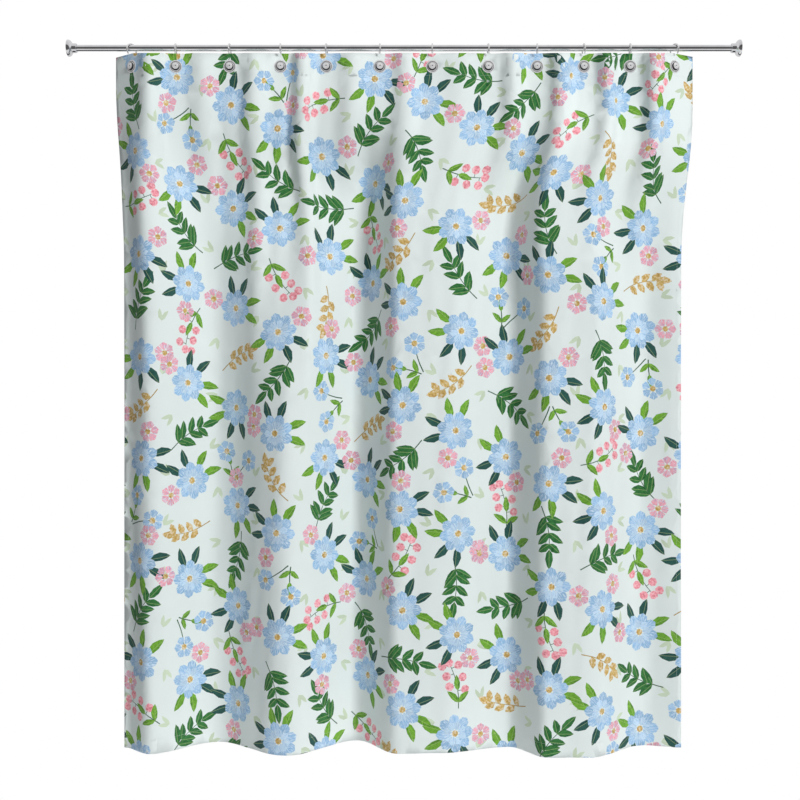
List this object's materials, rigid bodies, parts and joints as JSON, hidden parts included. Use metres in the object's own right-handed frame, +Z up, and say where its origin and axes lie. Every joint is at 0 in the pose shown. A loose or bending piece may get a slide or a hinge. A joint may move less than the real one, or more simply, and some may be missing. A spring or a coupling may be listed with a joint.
{
  "type": "shower curtain",
  "caption": "Printed fabric shower curtain with metal eyelets, hung by wire hooks with round knobs from a straight chrome rod between two wall flanges.",
  "frame": {"origin": "centre of the left wall plate's back face, on the rod's axis", "axes": "+X along the rod to the right wall, -Y the side the curtain's printed front faces, +Z up"},
  "size_m": [1.816, 0.1655, 1.9167],
  "materials": {
    "rod_chrome": "polished chrome plate",
    "cover_chrome": "polished chrome plate",
    "hook_chrome": "polished chrome plate",
    "eyelet_nickel": "bright nickel plate",
    "socket_zinc": "satin zinc casting",
    "screw_steel": "zinc-plated steel",
    "printed_cloth": "waffle-weave polyester, printed with a floral pattern on pale aqua"
  },
  "bodies": {
    "rod": {"rod_tube": "rod_chrome", "left_socket": "socket_zinc", "left_upper_wall_screw": "screw_steel", "left_lower_wall_screw": "screw_steel", "left_set_screw": "screw_steel", "right_socket": "socket_zinc", "right_upper_wall_screw": "screw_steel", "right_lower_wall_screw": "screw_steel", "right_set_screw": "screw_steel"},
    "left_cover": {"left_cover": "cover_chrome"},
    "right_cover": {"right_cover": "cover_chrome"},
    "curtain": {"curtain_panel": "printed_cloth", "hook_wire_01": "hook_chrome", "hook_knob_01": "hook_chrome", "eyelet_front_01": "eyelet_nickel", "eyelet_back_01": "eyelet_nickel"},
    "hanger_02": {"hook_wire_02": "hook_chrome", "hook_knob_02": "hook_chrome", "eyelet_front_02": "eyelet_nickel", "eyelet_back_02": "eyelet_nickel"},
    "hanger_03": {"hook_wire_03": "hook_chrome", "hook_knob_03": "hook_chrome", "eyelet_front_03": "eyelet_nickel", "eyelet_back_03": "eyelet_nickel"},
    "hanger_04": {"hook_wire_04": "hook_chrome", "hook_knob_04": "hook_chrome", "eyelet_front_04": "eyelet_nickel", "eyelet_back_04": "eyelet_nickel"},
    "hanger_05": {"hook_wire_05": "hook_chrome", "hook_knob_05": "hook_chrome", "eyelet_front_05": "eyelet_nickel", "eyelet_back_05": "eyelet_nickel"},
    "hanger_06": {"hook_wire_06": "hook_chrome", "hook_knob_06": "hook_chrome", "eyelet_front_06": "eyelet_nickel", "eyelet_back_06": "eyelet_nickel"},
    "hanger_07": {"hook_wire_07": "hook_chrome", "hook_knob_07": "hook_chrome", "eyelet_front_07": "eyelet_nickel", "eyelet_back_07": "eyelet_nickel"},
    "hanger_08": {"hook_wire_08": "hook_chrome", "hook_knob_08": "hook_chrome", "eyelet_front_08": "eyelet_nickel", "eyelet_back_08": "eyelet_nickel"},
    "hanger_09": {"hook_wire_09": "hook_chrome", "hook_knob_09": "hook_chrome", "eyelet_front_09": "eyelet_nickel", "eyelet_back_09": "eyelet_nickel"},
    "hanger_10": {"hook_wire_10": "hook_chrome", "hook_knob_10": "hook_chrome", "eyelet_front_10": "eyelet_nickel", "eyelet_back_10": "eyelet_nickel"},
    "hanger_11": {"hook_wire_11": "hook_chrome", "hook_knob_11": "hook_chrome", "eyelet_front_11": "eyelet_nickel", "eyelet_back_11": "eyelet_nickel"},
    "hanger_12": {"hook_wire_12": "hook_chrome", "hook_knob_12": "hook_chrome", "eyelet_front_12": "eyelet_nickel", "eyelet_back_12": "eyelet_nickel"}
  },
  "joints": [
    {"name": "left_cover_slide", "type": "slide", "parent": "rod", "child": "left_cover", "axis": [1, 0, 0], "range_m": [0, 0.04]},
    {"name": "right_cover_slide", "type": "slide", "parent": "rod", "child": "right_cover", "axis": [-1, 0, 0], "range_m": [0, 0.04]},
    {"name": "curtain_swing", "type": "hinge", "parent": "rod", "child": "curtain", "pos_m": [0.908, 0, 0], "axis": [1, 0, 0], "range_deg": [-12, 12]},
    {"name": "hook_02_slide", "type": "slide", "parent": "curtain", "child": "hanger_02", "axis": [-1, 0, 0], "range_m": [0, 0.0814]},
    {"name": "hook_03_slide", "type": "slide", "parent": "curtain", "child": "hanger_03", "axis": [-1, 0, 0], "range_m": [0, 0.1807]},
    {"name": "hook_04_slide", "type": "slide", "parent": "curtain", "child": "hanger_04", "axis": [-1, 0, 0], "range_m": [0, 0.2739]},
    {"name": "hook_05_slide", "type": "slide", "parent": "curtain", "child": "hanger_05", "axis": [-1, 0, 0], "range_m": [0, 0.3582]},
    {"name": "hook_06_slide", "type": "slide", "parent": "curtain", "child": "hanger_06", "axis": [-1, 0, 0], "range_m": [0, 0.4561]},
    {"name": "hook_07_slide", "type": "slide", "parent": "curtain", "child": "hanger_07", "axis": [-1, 0, 0], "range_m": [0, 0.5527]},
    {"name": "hook_08_slide", "type": "slide", "parent": "curtain", "child": "hanger_08", "axis": [-1, 0, 0], "range_m": [0, 0.6554]},
    {"name": "hook_09_slide", "type": "slide", "parent": "curtain", "child": "hanger_09", "axis": [-1, 0, 0], "range_m": [0, 0.7451]},
    {"name": "hook_10_slide", "type": "slide", "parent": "curtain", "child": "hanger_10", "axis": [-1, 0, 0], "range_m": [0, 0.8308]},
    {"name": "hook_11_slide", "type": "slide", "parent": "curtain", "child": "hanger_11", "axis": [-1, 0, 0], "range_m": [0, 0.9158]},
    {"name": "curtain_draw", "type": "slide", "parent": "curtain", "child": "hanger_12", "axis": [-1, 0, 0], "range_m": [0, 0.9969], "deforming": ["curtain_panel"]}
  ],
  "couplings": [
    {"joint": "hook_02_slide", "follows": "curtain_draw", "ratio": 0.081173},
    {"joint": "hook_03_slide", "follows": "curtain_draw", "ratio": 0.18076},
    {"joint": "hook_04_slide", "follows": "curtain_draw", "ratio": 0.27422},
    {"joint": "hook_05_slide", "follows": "curtain_draw", "ratio": 0.3588},
    {"joint": "hook_06_slide", "follows": "curtain_draw", "ratio": 0.45703},
    {"joint": "hook_07_slide", "follows": "curtain_draw", "ratio": 0.55389},
    {"joint": "hook_08_slide", "follows": "curtain_draw", "ratio": 0.65689},
    {"joint": "hook_09_slide", "follows": "curtain_draw", "ratio": 0.74693},
    {"joint": "hook_10_slide", "follows": "curtain_draw", "ratio": 0.83288},
    {"joint": "hook_11_slide", "follows": "curtain_draw", "ratio": 0.91814}
  ]
}
